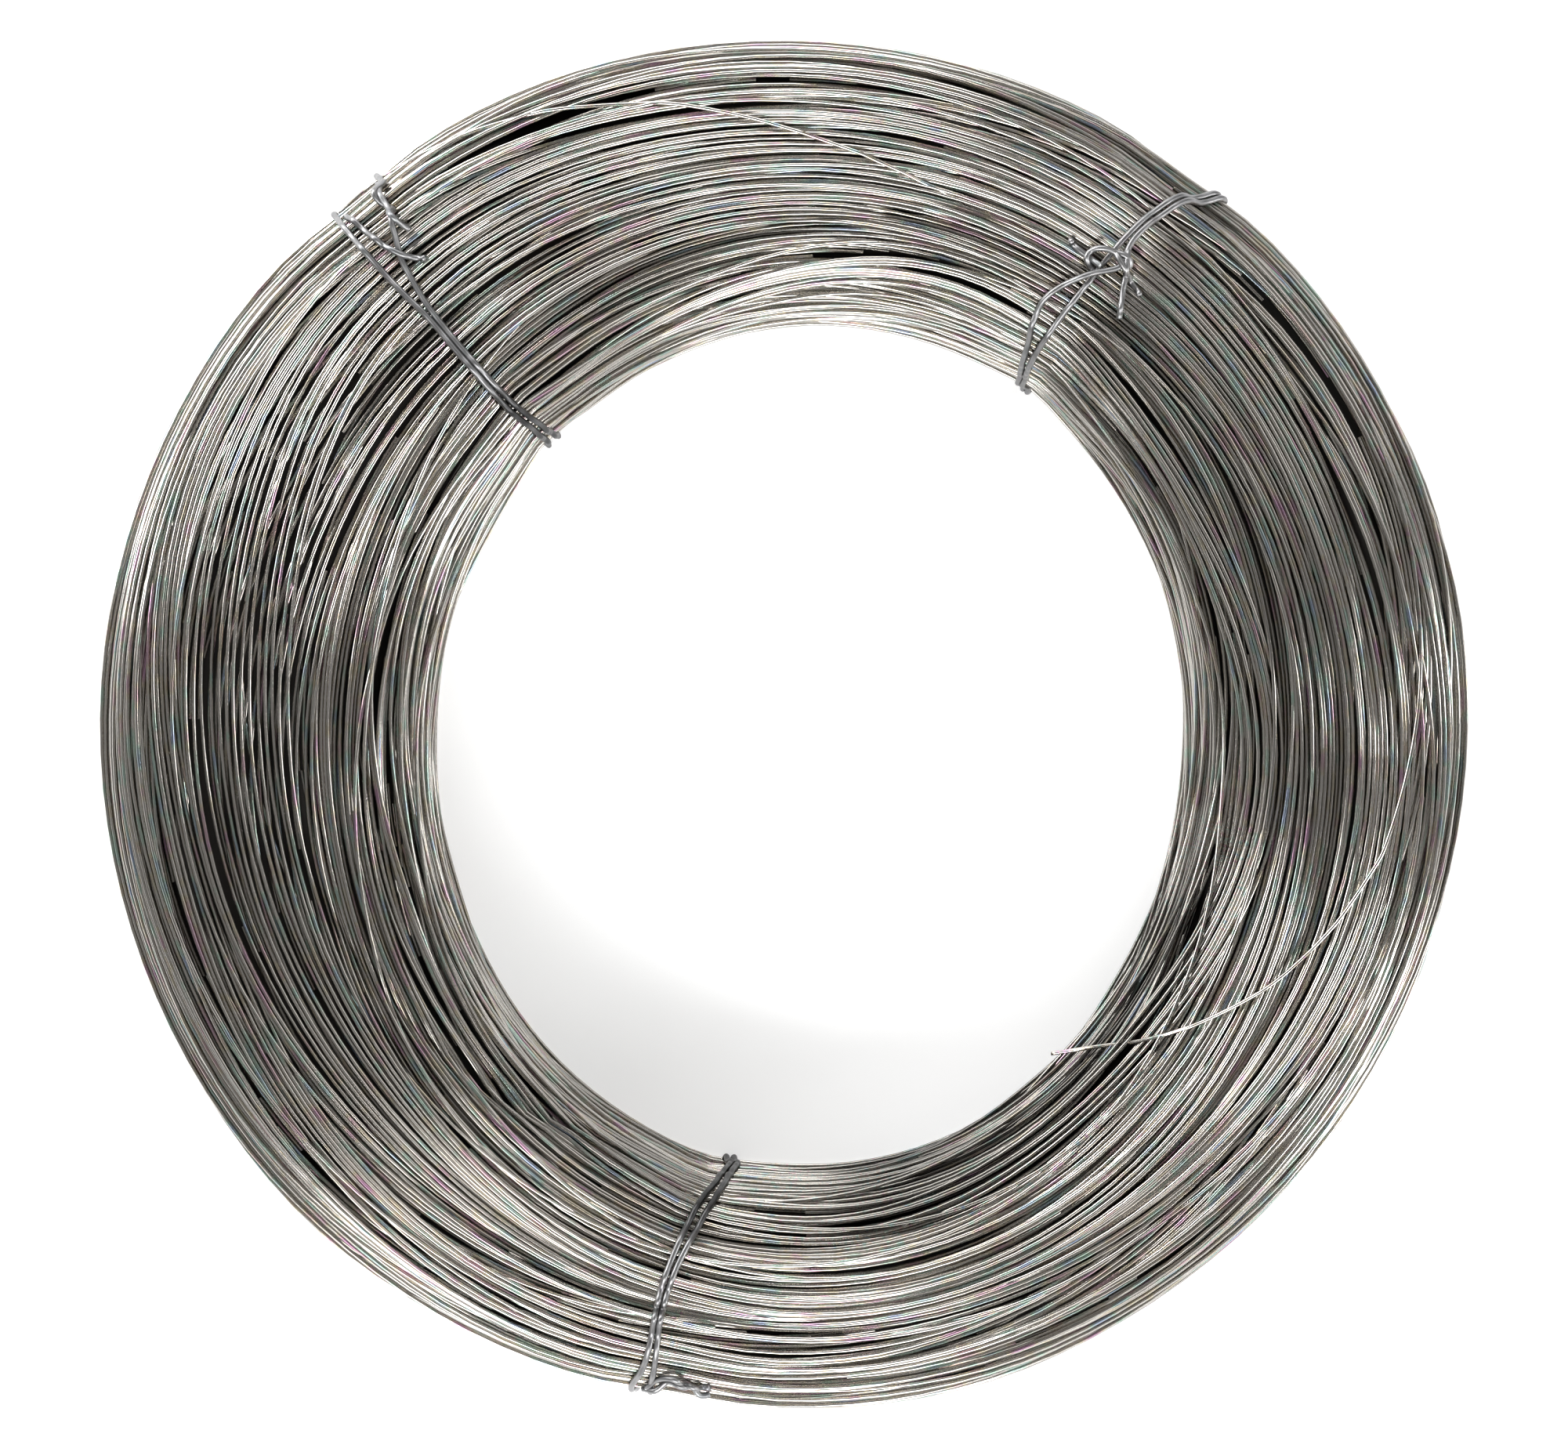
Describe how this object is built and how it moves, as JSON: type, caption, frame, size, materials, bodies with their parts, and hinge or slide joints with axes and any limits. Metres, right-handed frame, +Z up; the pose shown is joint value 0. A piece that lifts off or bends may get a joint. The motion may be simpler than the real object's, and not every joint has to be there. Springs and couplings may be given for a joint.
{
  "type": "spring wire coil",
  "caption": "Flat-lying coil of bright stainless steel spring wire with a round bore off its middle, tied with twisted soft wire; stock that pays off a reel.",
  "frame": {"origin": "on the axis of the coil's outside, at the level of the lowest turns, where the coil lies on the floor", "axes": "+Z up, along the bore's axis, +Y towards the top of the picture, +X to its right"},
  "size_m": [0.42, 0.42, 0.0794],
  "materials": {
    "spring_wire": "bright drawn",
    "tie_wire": "dull annealed"
  },
  "bodies": {
    "root": {"wire_coil": "spring_wire", "tie_back_right": "tie_wire", "tie_back_left": "tie_wire", "tie_front": "tie_wire"}
  },
  "joints": []
}
